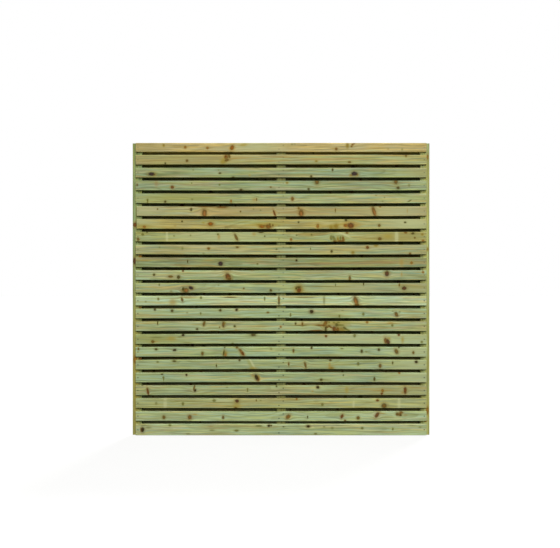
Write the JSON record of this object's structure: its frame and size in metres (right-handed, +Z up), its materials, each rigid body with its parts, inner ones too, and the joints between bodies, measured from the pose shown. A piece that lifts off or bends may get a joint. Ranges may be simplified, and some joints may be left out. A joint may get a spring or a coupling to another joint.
{
  "type": "wooden fence panel",
  "caption": "Double-sided level-slatted fence panel of green treated softwood, with rear slats behind the front gaps and end uprights that stand out as tongues for slotted posts.",
  "frame": {"origin": "middle of the foot: centre of the bounding box in X and Y, at its lowest Z", "axes": "+X to the right seen from the front, front towards -Y, +Z up"},
  "size_m": [1.83, 0.076, 1.7964],
  "materials": {
    "slat_wood": "matte",
    "upright_wood": "matte",
    "brad_steel": "satin"
  },
  "bodies": {
    "root": {"front_slat_01": "slat_wood", "front_slat_02": "slat_wood", "front_slat_03": "slat_wood", "front_slat_04": "slat_wood", "front_slat_05": "slat_wood", "front_slat_06": "slat_wood", "front_slat_07": "slat_wood", "front_slat_08": "slat_wood", "front_slat_09": "slat_wood", "front_slat_10": "slat_wood", "front_slat_11": "slat_wood", "front_slat_12": "slat_wood", "front_slat_13": "slat_wood", "front_slat_14": "slat_wood", "front_slat_15": "slat_wood", "front_slat_16": "slat_wood", "front_slat_17": "slat_wood", "front_slat_18": "slat_wood", "front_slat_19": "slat_wood", "front_slat_20": "slat_wood", "front_slat_21": "slat_wood", "front_slat_22": "slat_wood", "front_slat_23": "slat_wood", "rear_slat_01": "slat_wood", "rear_slat_02": "slat_wood", "rear_slat_03": "slat_wood", "rear_slat_04": "slat_wood", "rear_slat_05": "slat_wood", "rear_slat_06": "slat_wood", "rear_slat_07": "slat_wood", "rear_slat_08": "slat_wood", "rear_slat_09": "slat_wood", "rear_slat_10": "slat_wood", "rear_slat_11": "slat_wood", "rear_slat_12": "slat_wood", "rear_slat_13": "slat_wood", "rear_slat_14": "slat_wood", "rear_slat_15": "slat_wood", "rear_slat_16": "slat_wood", "rear_slat_17": "slat_wood", "rear_slat_18": "slat_wood", "rear_slat_19": "slat_wood", "rear_slat_20": "slat_wood", "rear_slat_21": "slat_wood", "rear_slat_22": "slat_wood", "left_upright": "upright_wood", "centre_upright": "upright_wood", "right_upright": "upright_wood", "front_brads": "brad_steel", "rear_brads": "brad_steel"}
  },
  "joints": []
}
